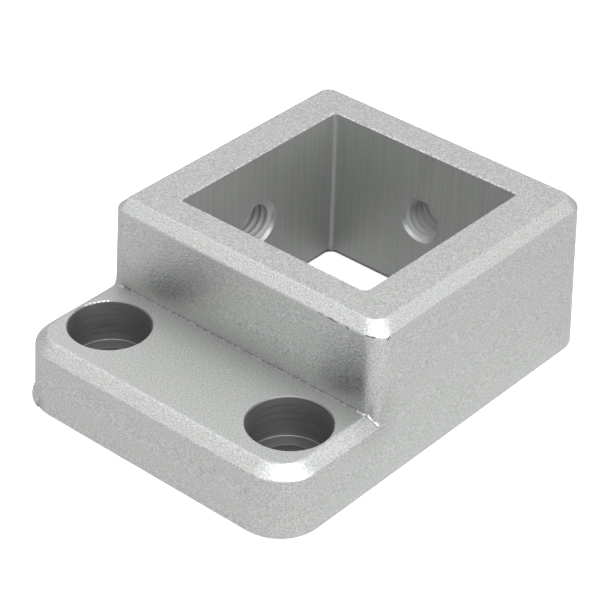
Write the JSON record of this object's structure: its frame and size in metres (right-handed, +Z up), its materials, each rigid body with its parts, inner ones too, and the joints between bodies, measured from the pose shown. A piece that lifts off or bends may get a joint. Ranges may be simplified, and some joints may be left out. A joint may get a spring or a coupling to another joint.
{
  "type": "profile socket bracket",
  "caption": "Cast bracket that holds a slotted profile upright: a square through socket with grub screws to lock the profile, and a low flange with sunk screw holes to fasten it down.",
  "frame": {"origin": "where the socket's axis meets the base", "axes": "+Z up through the socket, +Y from the flange towards the rear wall, +X along the flange; the tapped side wall is on -X"},
  "size_m": [0.0454, 0.0601, 0.0224],
  "materials": {
    "cast_metal": "matt blasted casting, with the socket and the holes machined"
  },
  "bodies": {
    "root": {"bracket_casting": "cast_metal"}
  },
  "joints": []
}
